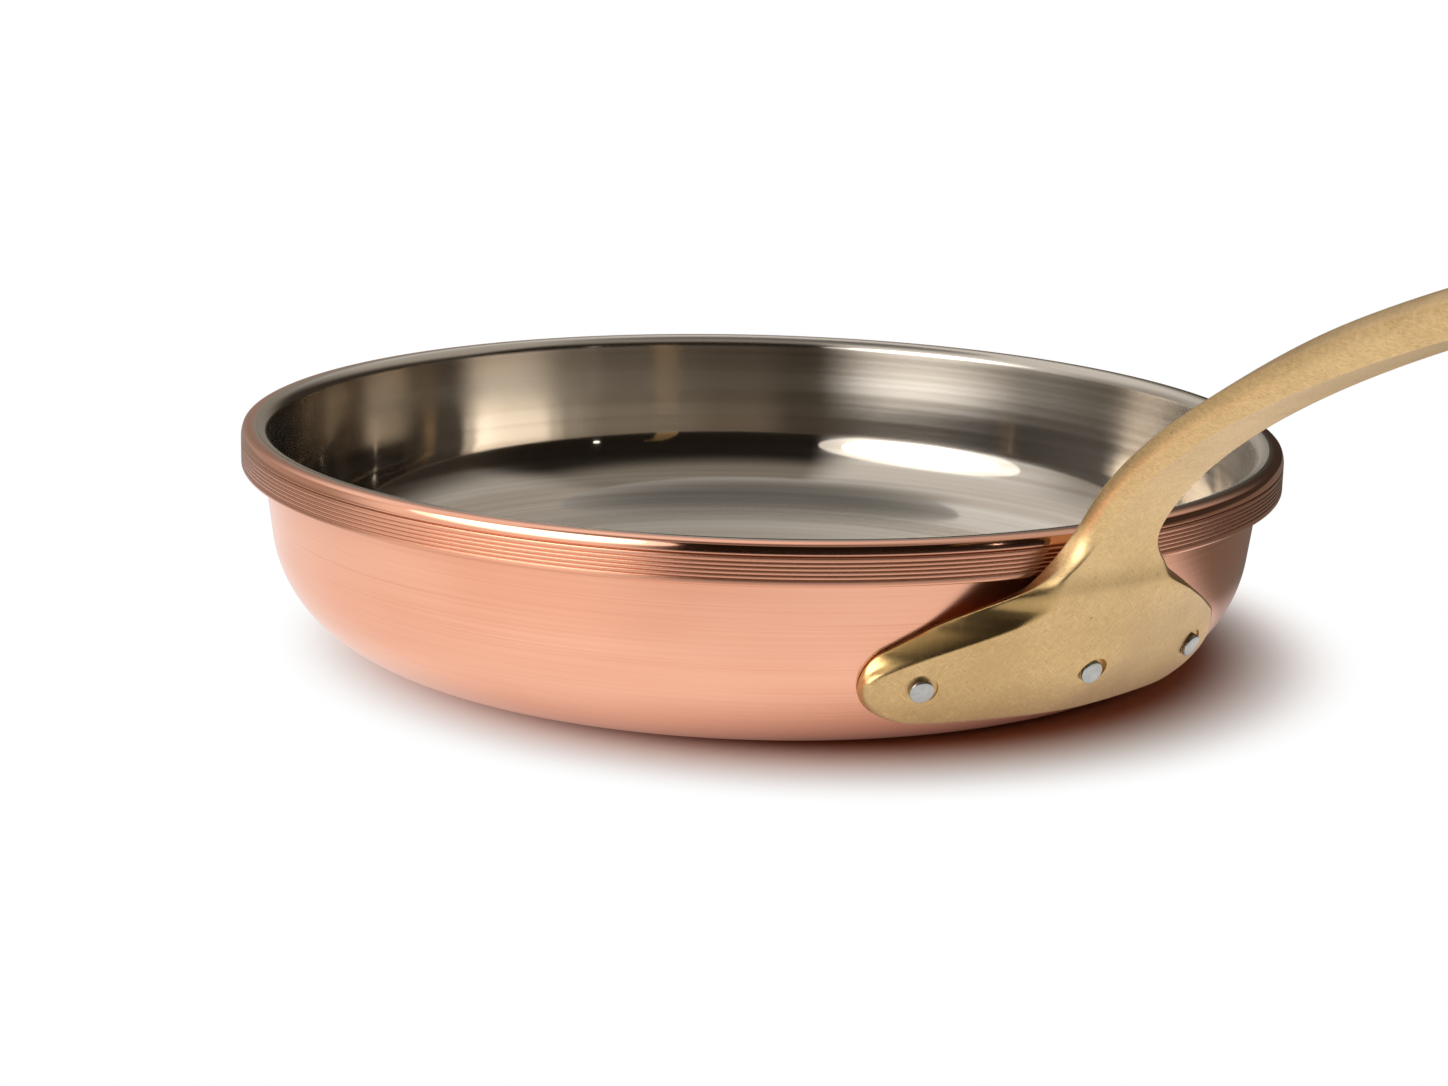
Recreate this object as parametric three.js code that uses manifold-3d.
// Copper frying pan: a spun copper body with a turned-over rim, a tin lining, and a cast brass
// handle held by three rivets. Millimetres, +Z up. The origin is the centre of the base, on the
// surface that the pan stands on, and the handle runs out along +X.
import * as THREE from 'three';
import { mergeVertices } from 'three/addons/utils/BufferGeometryUtils.js';
import Module from 'manifold-3d';

const wasm = await Module();
wasm.setup();

const rad = THREE.MathUtils.degToRad;
const { lerp, smoothstep } = THREE.MathUtils;

// Pan body
const rimDiameter = 280;
const panHeight = 58;
const copperSheet = 2;
const wallLean = rad(7);
const cornerRadius = 33;
const rimDrop = 10.4;
const rimOverhang = 5.8;
const crestSetback = 4;
const crestOuterDrop = 2.1;
const crestInnerDrop = 3.2;
const rollHollowTop = 2.4;
const lipRound = 0.3;

// Turned grooves on the rim's skirt: one deep groove under the bead, then a set of fine ones
const beadGrooveDrop = 3.2;
const beadGrooveWidth = 0.7;
const beadGrooveDepth = 0.35;
const fineGrooveDrop = 4.6;
const fineGroovePitch = 1;
const fineGrooveCount = 5;
const fineGrooveWidth = 0.5;
const fineGrooveDepth = 0.2;

// Lining, drawn over the inner half of the crest
const tinThickness = 0.4;
const tinEdge = 0.1;
const bondGap = 0.05;

// Handle casting: the lug on the wall
const fitGap = 0.3;
const lugSpan = 110;
const lugBottom = 10;
const lugTipHeight = 22.5;
const lobeRun = 22;
const lobeRadius = 9;
const shoulderSlope = rad(28);
const rootFillet = 22;
const plateThickness = 4.2;
const ridgeFoot = 6;
const ridgeThickness = 10.5;
const ridgeHalfWidth = 28;
const ridgeRise = 18;
const heelRound = 0.1;
const edgeRound = 1.2;

// Bevel along the lug's upper edge: it widens from the tip to the neck and dies out there
const bevelTipDrop = 4;
const bevelDrop = 8.2;
const bevelGrowth = 15;
const bevelFade = 12;
const bevelLip = 1;

// Root, where the inner face leaves the wall while the front face runs on into the stem
const rimClearance = 1;
const liftHeight = 12;
const swellHeight = 22;
const rootEdge = 6;
const rootThickness = 7;

// Handle casting: the stem, the grip and the hanging eye
const neckWidth = 21;
const neckEdge = 5.6;
const neckThickness = 7;
const neckCorner = 1.8;
const gripWidth = 20;
const gripEdge = 6.2;
const gripThickness = 7.2;
const gripCrown = 4;
const crownStart = 22;
const crownLength = 90;
const stemRound = 1.5;
const handleReach = 352;
const handleRise = 99.4;
const handleEndSlope = rad(12);
const rootPull = 39;
const endPull = 121;
const eyeWidth = 25;
const eyeSwell = 60;
const eyeThickness = 7;
const eyeHole = 10;
const eyeHoleSetback = 14;

// Rivets
const rivetTipSetback = 14;
const rivetSpacing = lugSpan / 2 - rivetTipSetback;
const sideRivetHeight = 22.6;
const middleRivetHeight = 25;
const shankDiameter = 4.5;
const rivetHole = shankDiameter + 2 * fitGap;
const headDiameter = 6;
const headHeight = 1.8;
const headDome = 0.7;
const innerHeadDiameter = 8;
const innerHeadHeight = 1.5;
const spotMargin = 1.2;
const spotCut = 0.1;
const seatGap = 0.1;

// Facets
const panSegments = 60;
const arcSteps = 6;
const fineArcSteps = 4;
const shoulderCuts = 9;
const stemCuts = 24;
const endCuts = 7;
const endCutTurn = rad(85);
const rivetSegments = 16;
const holeSegments = 24;
const seatProbes = 8;
const searchSteps = 40;

const copper = new THREE.MeshStandardMaterial({ color: 0xdfa283, roughness: 0.32, metalness: 1 });
const tin = new THREE.MeshStandardMaterial({ color: 0xb3aea5, roughness: 0.3, metalness: 1 });
const brass = new THREE.MeshStandardMaterial({ color: 0xcfa868, roughness: 0.35, metalness: 1 });
const steel = new THREE.MeshStandardMaterial({ color: 0xc4c2be, roughness: 0.3, metalness: 1 });

// Closed triangles of a geometry, with shared corners merged and empty triangles left out
function solidFrom(geometry) {
  const bare = new THREE.BufferGeometry();
  bare.setAttribute('position', geometry.getAttribute('position'));
  bare.setIndex(geometry.index);
  const merged = mergeVertices(bare, 1e-4);
  const corners = merged.index.array;
  const triVerts = [];
  for (let i = 0; i < corners.length; i += 3) {
    const [a, b, c] = corners.slice(i, i + 3);
    if (a !== b && b !== c && c !== a) triVerts.push(a, b, c);
  }
  const vertProperties = merged.getAttribute('position').array;
  return new wasm.Manifold(new wasm.Mesh({
    numProp: 3, vertProperties, triVerts: new Uint32Array(triVerts),
  }));
}

function geometryFrom(solid) {
  const { vertProperties, triVerts } = solid.getMesh();
  const geometry = new THREE.BufferGeometry();
  geometry.setAttribute('position', new THREE.BufferAttribute(vertProperties, 3));
  geometry.setIndex(new THREE.BufferAttribute(triVerts, 1));
  geometry.computeVertexNormals();
  return geometry;
}

// A profile of (radius, height) points turned about +Z
function turned(profile, segments) {
  return new THREE.LatheGeometry(profile, segments).rotateX(Math.PI / 2);
}

function arcPoints(centre, radiusX, radiusY, from, to, steps) {
  const curve = new THREE.EllipseCurve(centre.x, centre.y, radiusX, radiusY, from, to, to < from);
  return curve.getPoints(steps);
}

const at = (x, y) => new THREE.Vector2(x, y);

// Pan: the wall's outer face is a line leaning outwards above an arc that runs into the flat base
const rimRadius = rimDiameter / 2;
const lipHeight = panHeight - rimDrop;
const wallTopRadius = rimRadius - rimOverhang;
const cornerCentre = at(
  wallTopRadius - (cornerRadius + Math.sin(wallLean) * (lipHeight - cornerRadius)) / Math.cos(wallLean),
  cornerRadius,
);

// Radius of the face that lies depth inside the wall's outer face
function wallRadius(height, depth = 0) {
  const radius = cornerRadius - depth;
  const below = cornerCentre.y - height;
  if (below > radius * Math.sin(wallLean)) {
    return cornerCentre.x + Math.sqrt(Math.max(radius ** 2 - below ** 2, 0));
  }
  return wallTopRadius - (lipHeight - height) * Math.tan(wallLean) - depth / Math.cos(wallLean);
}

// Base and wall of such a face, from the axis up to a height
function bowlFace(depth, top) {
  const radius = cornerRadius - depth;
  return [
    at(0, depth),
    ...arcPoints(cornerCentre, radius, radius, -Math.PI / 2, -wallLean, arcSteps),
    at(wallRadius(top, depth), top),
  ];
}

// Inner quarter of the crest, raised above the copper, from the wall over to the top
const crestRadius = rimRadius - crestSetback;
const crestInnerHeight = panHeight - crestInnerDrop;
const crestCentre = at(crestRadius, crestInnerHeight);

function crestInside(raised) {
  const across = crestRadius - wallRadius(crestInnerHeight, copperSheet) + raised;
  return arcPoints(crestCentre, across, crestInnerDrop + raised, Math.PI, Math.PI / 2, fineArcSteps);
}

function groove(drop, width, depth) {
  const height = panHeight - drop;
  return [
    at(rimRadius, height - width / 2),
    at(rimRadius - depth, height),
    at(rimRadius, height + width / 2),
  ];
}

// The skirt's outer face, from its lip up to the bead under the crest
function skirtFace() {
  const points = [at(rimRadius - lipRound, lipHeight), at(rimRadius, lipHeight + lipRound)];
  for (let i = fineGrooveCount - 1; i >= 0; i -= 1) {
    points.push(...groove(fineGrooveDrop + i * fineGroovePitch, fineGrooveWidth, fineGrooveDepth));
  }
  points.push(...groove(beadGrooveDrop, beadGrooveWidth, beadGrooveDepth));
  return points;
}

// The hollow of the turned-over rim, open downwards between the wall and the skirt
function rollHollow() {
  const top = panHeight - rollHollowTop;
  const skirtInside = rimRadius - copperSheet;
  const round = (skirtInside - wallRadius(top)) / 2;
  const springing = top - round;
  const inner = wallRadius(springing);
  const half = (skirtInside - inner) / 2;
  return [
    ...arcPoints(at(inner + half, springing), half, round, Math.PI, 0, arcSteps),
    at(skirtInside, lipHeight),
  ];
}

function bodyProfile() {
  const outside = bowlFace(0, lipHeight);
  const crestOutside = arcPoints(
    at(crestRadius, panHeight - crestOuterDrop), crestSetback, crestOuterDrop, 0, Math.PI / 2, fineArcSteps,
  );
  const inside = bowlFace(copperSheet, crestInnerHeight).reverse();
  const crest = [...crestOutside, ...crestInside(0).reverse().slice(1, -1)];
  return [...outside, ...rollHollow(), ...skirtFace(), ...crest, ...inside];
}

function liningProfile() {
  const backDepth = copperSheet + bondGap;
  const back = [...bowlFace(backDepth, crestInnerHeight).slice(0, -1), ...crestInside(bondGap)];
  const face = [
    ...bowlFace(backDepth + tinThickness, crestInnerHeight).slice(0, -1),
    ...crestInside(bondGap + tinThickness).slice(0, -1),
    at(crestRadius, panHeight + bondGap + tinEdge),
  ];
  return [...back, ...face.reverse()];
}

// Handle: half-width of the casting, along the wall in the lug and across the stem above it
const tipCentre = at(lugSpan / 2 - lobeRadius, lugTipHeight);
const shoulderNormal = at(Math.sin(shoulderSlope), Math.cos(shoulderSlope));
const shoulderOffset = shoulderNormal.dot(tipCentre) + lobeRadius;
const filletCentre = at(
  neckWidth / 2 + rootFillet,
  (shoulderOffset + rootFillet - shoulderNormal.x * (neckWidth / 2 + rootFillet)) / shoulderNormal.y,
);

function castingHalf(height) {
  const shoulderLow = lugTipHeight + lobeRadius * shoulderNormal.y;
  const shoulderHigh = filletCentre.y - rootFillet * shoulderNormal.y;
  if (height < lugTipHeight) {
    const share = (lugTipHeight - height) / (lugTipHeight - lugBottom);
    return lugSpan / 2 - lobeRun + lobeRun * Math.sqrt(Math.max(1 - share ** 2, 0));
  }
  if (height < shoulderLow) {
    return tipCentre.x + Math.sqrt(lobeRadius ** 2 - (height - lugTipHeight) ** 2);
  }
  if (height < shoulderHigh) {
    return (shoulderOffset - shoulderNormal.y * height) / shoulderNormal.x;
  }
  if (height < filletCentre.y) {
    return filletCentre.x - Math.sqrt(rootFillet ** 2 - (filletCentre.y - height) ** 2);
  }
  return neckWidth / 2;
}

// The stem's upper edge climbs past the rim and bends over towards the hanging eye
const stemFoot = at(rimRadius + rimClearance, lipHeight - rimClearance);
const stemEnd = at(handleReach, panHeight + handleRise);
const stemPath = new THREE.CubicBezierCurve(
  stemFoot,
  at(stemFoot.x, stemFoot.y + rootPull),
  at(stemEnd.x - endPull * Math.cos(handleEndSlope), stemEnd.y - endPull * Math.sin(handleEndSlope)),
  stemEnd,
);
stemPath.arcLengthDivisions = 800;
const stemLength = stemPath.getLength();

function raisedRidge(across) {
  return 1 / (1 + (across / ridgeHalfWidth) ** 2) ** 2;
}

// How far the casting has left the wall to clear the rim: 0 on the wall, 1 at the stem's foot
function lift(height) {
  return smoothstep(height, stemFoot.y - liftHeight, stemFoot.y);
}

// Radius of the lug's inner face
function innerRadius(height) {
  return lerp(wallRadius(height) + fitGap, stemFoot.x, lift(height));
}

// Thickness of the lug between its two faces. The front face is set off from the wall.
function lugThickness(height, across) {
  const rootGap = stemFoot.x - wallRadius(stemFoot.y) - fitGap;
  const gap = innerRadius(height) - wallRadius(height) - fitGap;
  const swell = smoothstep(height, stemFoot.y - swellHeight, stemFoot.y);
  const ridge = lerp(ridgeFoot, ridgeThickness, smoothstep(height, lugBottom, lugBottom + ridgeRise));
  const edge = lerp(plateThickness, rootGap + rootEdge, swell);
  const middle = lerp(ridge, rootGap + rootThickness, swell);
  return edge + (middle - edge) * raisedRidge(across) - gap;
}

// How much is left of the bevel: 1 on the lug, 0 on the neck
function bevelLeft(height) {
  return 1 - smoothstep(height, stemFoot.y - bevelFade / 2, stemFoot.y + bevelFade / 2);
}

// Half-width of the front face, where the bevel ends
function bevelFront(height) {
  const growth = smoothstep(height, lugTipHeight, lugTipHeight + bevelGrowth);
  const drop = lerp(bevelTipDrop, bevelDrop, growth) * bevelLeft(height);
  return Math.min(castingHalf(height) - edgeRound, castingHalf(height + drop));
}

// One half of a section, from the middle of its inner face round its edge to the middle of its
// front: across is measured along the wall and deep is measured out from the inner face
function halfSection({ half, front, innerRound, lip, crown, thickness }) {
  const points = [];
  for (const share of [0, 0.2, 0.4, 0.6, 0.8, 1]) {
    const across = share * (half - innerRound);
    points.push(at(across, -crown * (1 - (across / half) ** 2)));
  }
  points.push(at(half, innerRound), at(half, lip));
  for (const share of [1, 0.8, 0.6, 0.42, 0.27, 0.13, 0]) {
    points.push(at(share * front, thickness(share * front)));
  }
  return points;
}

function fullSection(shape) {
  const right = halfSection(shape);
  const left = right.slice(1, -1).reverse().map((p) => at(-p.x, p.y));
  return [...right, ...left];
}

// Sections of the lug lie level, and wrap round the wall
function lugSection(height, trim) {
  return {
    points: fullSection({
      half: castingHalf(height) - trim,
      front: bevelFront(height) - trim,
      innerRound: heelRound,
      lip: lerp(rootEdge - edgeRound, bevelLip, bevelLeft(height)),
      crown: 0,
      thickness: (across) => lugThickness(height, across) - trim,
    }),
    origin: at(innerRadius(height), height),
    outwards: at(1, 0),
    bend: 1 / (wallRadius(height) + fitGap),
  };
}

// Sections of the stem lie square to its path, and lose the wall's curve as they climb
function stemSection(along) {
  const share = along / stemLength;
  const tangent = stemPath.getTangentAt(share);
  const height = stemFoot.y + along;
  const leave = smoothstep(along, 0, crownStart);
  const grip = smoothstep(along, crownStart, crownStart + crownLength);
  const eye = smoothstep(along, stemLength - eyeSwell, stemLength - eyeWidth / 2);
  const shank = lerp(castingHalf(height), gripWidth / 2, grip);
  const past = Math.max(along - (stemLength - eyeWidth / 2), 0) / (eyeWidth / 2);
  const roundEnd = Math.sqrt(Math.max(1 - past ** 2, 0));
  const half = lerp(shank, eyeWidth / 2, eye) * roundEnd;
  const edge = lerp(lerp(lerp(rootEdge, neckEdge, leave), gripEdge, grip), eyeThickness, eye);
  const middle = lerp(lerp(lerp(rootThickness, neckThickness, leave), gripThickness, grip), eyeThickness, eye);
  const corner = lerp(edgeRound, neckCorner, leave);
  const bevel = Math.max(castingHalf(height) - bevelFront(height), corner);
  return {
    points: fullSection({
      half,
      front: half - Math.min(bevel, half / 2),
      innerRound: Math.min(lerp(heelRound, stemRound, leave), half / 2),
      lip: lerp(edge - corner, bevelLip, bevelLeft(height)),
      crown: gripCrown * grip * (1 - eye) * roundEnd,
      thickness: (across) => edge + (middle - edge) * raisedRidge(across),
    }),
    origin: stemPath.getPointAt(share),
    outwards: at(tangent.y, -tangent.x),
    bend: (1 - leave) / stemFoot.x,
  };
}

// Places a section's points in the part's frame, bent round the wall where it lies on it
function placedRing({ points, origin, outwards, bend }) {
  return points.map(({ x: across, y: deep }) => {
    const sideways = bend > 0 ? (1 / bend + deep) * Math.sin(bend * across) : across;
    const out = bend > 0 ? (1 / bend + deep) * Math.cos(bend * across) - 1 / bend : deep;
    return new THREE.Vector3(origin.x + out * outwards.x, sideways, origin.y + out * outwards.y);
  });
}

// Skins a row of sections that have equally many points, and closes both ends
function lofted(sections) {
  const rings = sections.map(placedRing);
  const count = rings[0].length;
  const corners = [];
  for (let r = 0; r + 1 < rings.length; r += 1) {
    for (let i = 0; i < count; i += 1) {
      const next = (i + 1) % count;
      const a = r * count + i;
      const b = r * count + next;
      corners.push(a, a + count, b, b, a + count, b + count);
    }
  }
  const last = (rings.length - 1) * count;
  for (const [a, b, c] of THREE.ShapeUtils.triangulateShape(sections[0].points, [])) {
    corners.push(a, b, c);
  }
  for (const [a, b, c] of THREE.ShapeUtils.triangulateShape(sections.at(-1).points, [])) {
    corners.push(last + a, last + c, last + b);
  }
  const geometry = new THREE.BufferGeometry().setFromPoints(rings.flat());
  geometry.setIndex(corners);
  return geometry;
}

// Heights at which the lug is cut: closer together round the lobes than along the shoulder
function lugHeights() {
  const low = arcPoints(at(0, lugTipHeight), 1, lugTipHeight - lugBottom, -Math.PI / 2, 0, arcSteps);
  const high = arcPoints(at(0, lugTipHeight), 1, lobeRadius, 0, Math.PI / 2 - shoulderSlope, fineArcSteps);
  const shoulderStart = high.at(-1).y;
  const heights = [...low, ...high.slice(1)].map((p) => p.y);
  for (let i = 1; i < shoulderCuts; i += 1) {
    heights.push(lerp(shoulderStart, stemFoot.y, i / shoulderCuts));
  }
  return heights;
}

// Distances along the stem at which it is cut, closing up round its end
function stemDistances() {
  const endStart = stemLength - eyeWidth / 2;
  const distances = [];
  for (let i = 0; i <= stemCuts; i += 1) distances.push(endStart * (i / stemCuts));
  for (let i = 1; i <= endCuts; i += 1) {
    distances.push(endStart + (eyeWidth / 2) * Math.sin(endCutTurn * (i / endCuts)));
  }
  return distances;
}

function castingGeometry() {
  const heights = lugHeights();
  const sections = [
    lugSection(heights[0], edgeRound / 2),
    ...heights.slice(1).map((height) => lugSection(height, 0)),
    ...stemDistances().map(stemSection),
  ];
  return lofted(sections);
}

// Rivets stand square to the wall, at equal steps along it, the middle one higher, under the stem
function rivetFrame(step, height) {
  const radius = wallRadius(height);
  const turn = step * rivetSpacing / radius;
  const dip = Math.asin(Math.max((cornerRadius - height) / cornerRadius, Math.sin(wallLean)));
  return {
    foot: new THREE.Vector3(radius * Math.cos(turn), radius * Math.sin(turn), height),
    axis: new THREE.Vector3(Math.cos(dip) * Math.cos(turn), Math.cos(dip) * Math.sin(turn), -Math.sin(dip)),
  };
}

// The turn that lays a piece made along +Y on an axis
function turnedTo(axis) {
  return new THREE.Quaternion().setFromUnitVectors(new THREE.Vector3(0, 1, 0), axis);
}

function insideLugFront({ x, y, z }) {
  const across = Math.atan2(y, x) * (wallRadius(z) + fitGap);
  return Math.hypot(x, y) < innerRadius(z) + lugThickness(z, across);
}

// Distance along an axis from a point to the lug's front face
function distanceToFront(start, axis) {
  let near = 0;
  let far = 2 * (ridgeThickness + fitGap);
  for (let i = 0; i < searchSteps; i += 1) {
    const middle = (near + far) / 2;
    if (insideLugFront(start.clone().addScaledVector(axis, middle))) near = middle;
    else far = middle;
  }
  return near;
}

// Distance from the wall, along a rivet, to the flat for its head: just under the lowest place of
// the lug's face round the head
function rivetSeat({ foot, axis }) {
  const distances = [];
  for (let i = 0; i < seatProbes; i += 1) {
    const turn = (2 * Math.PI * i) / seatProbes;
    const probe = new THREE.Vector3(Math.cos(turn), 0, Math.sin(turn)).multiplyScalar(headDiameter / 2);
    distances.push(distanceToFront(probe.applyQuaternion(turnedTo(axis)).add(foot), axis));
  }
  return Math.min(...distances) - spotCut;
}

// A cylinder on a rivet's axis, from one distance to another
function cutter({ foot, axis }, radius, from, to) {
  const cylinder = new THREE.CylinderGeometry(radius, radius, to - from, rivetSegments);
  cylinder.translate(0, (from + to) / 2, 0);
  cylinder.applyQuaternion(turnedTo(axis));
  return solidFrom(cylinder.translate(foot.x, foot.y, foot.z));
}

const rivetFrames = [
  rivetFrame(-1, sideRivetHeight),
  rivetFrame(0, middleRivetHeight),
  rivetFrame(1, sideRivetHeight),
];
const liningDepth = copperSheet + bondGap + tinThickness;
const holeReach = liningDepth + innerHeadHeight;

function drilled(geometry) {
  let solid = solidFrom(geometry);
  for (const frame of rivetFrames) {
    const outside = rivetSeat(frame) + headHeight;
    solid = solid.subtract(cutter(frame, rivetHole / 2, -holeReach, outside));
  }
  return solid;
}

function eyeCutter() {
  const share = (stemLength - eyeHoleSetback) / stemLength;
  const centre = stemPath.getPointAt(share);
  const tangent = stemPath.getTangentAt(share);
  const length = 2 * eyeWidth;
  const cylinder = new THREE.CylinderGeometry(eyeHole / 2, eyeHole / 2, length, holeSegments);
  cylinder.applyQuaternion(turnedTo(new THREE.Vector3(tangent.y, 0, -tangent.x)));
  return solidFrom(cylinder.translate(centre.x, 0, centre.y));
}

function handleGeometry() {
  let solid = drilled(castingGeometry()).subtract(eyeCutter());
  for (const frame of rivetFrames) {
    const seat = rivetSeat(frame);
    solid = solid.subtract(cutter(frame, headDiameter / 2 + spotMargin, seat, seat + ridgeThickness));
  }
  return geometryFrom(solid);
}

// A rivet along +Y: inner head, shank, and an outer head with straight sides and a low dome.
// The inner head bears on its edge, because the lining is hollow there.
function rivetGeometry(seat) {
  const dome = (radius, height, rise, from, to) =>
    arcPoints(at(0, height), radius, rise, from, to, fineArcSteps);
  const hollow = (innerHeadDiameter / 2) ** 2 / (2 * (cornerRadius - liningDepth));
  const innerFace = -liningDepth - hollow - fitGap;
  const outerFace = seat + seatGap;
  const shoulder = outerFace + headHeight - headDome;
  const profile = [
    ...dome(innerHeadDiameter / 2, innerFace, innerHeadHeight, -Math.PI / 2, 0),
    at(shankDiameter / 2, innerFace),
    at(shankDiameter / 2, outerFace),
    at(headDiameter / 2, outerFace),
    ...dome(headDiameter / 2, shoulder, headDome, 0, Math.PI / 2),
  ];
  return new THREE.LatheGeometry(profile, rivetSegments);
}

function named(name, geometry, material) {
  const mesh = new THREE.Mesh(geometry, material);
  mesh.name = name;
  return mesh;
}

const pan = new THREE.Group();
pan.add(named('copper_body', geometryFrom(drilled(turned(bodyProfile(), panSegments))), copper));
pan.add(named('tin_lining', geometryFrom(drilled(turned(liningProfile(), panSegments))), tin));
pan.add(named('brass_handle', handleGeometry(), brass));

['left', 'middle', 'right'].forEach((place, index) => {
  const frame = rivetFrames[index];
  const rivet = named(`rivet_${place}`, rivetGeometry(rivetSeat(frame)), steel);
  rivet.position.copy(frame.foot);
  rivet.quaternion.copy(turnedTo(frame.axis));
  pan.add(rivet);
});

export default pan;
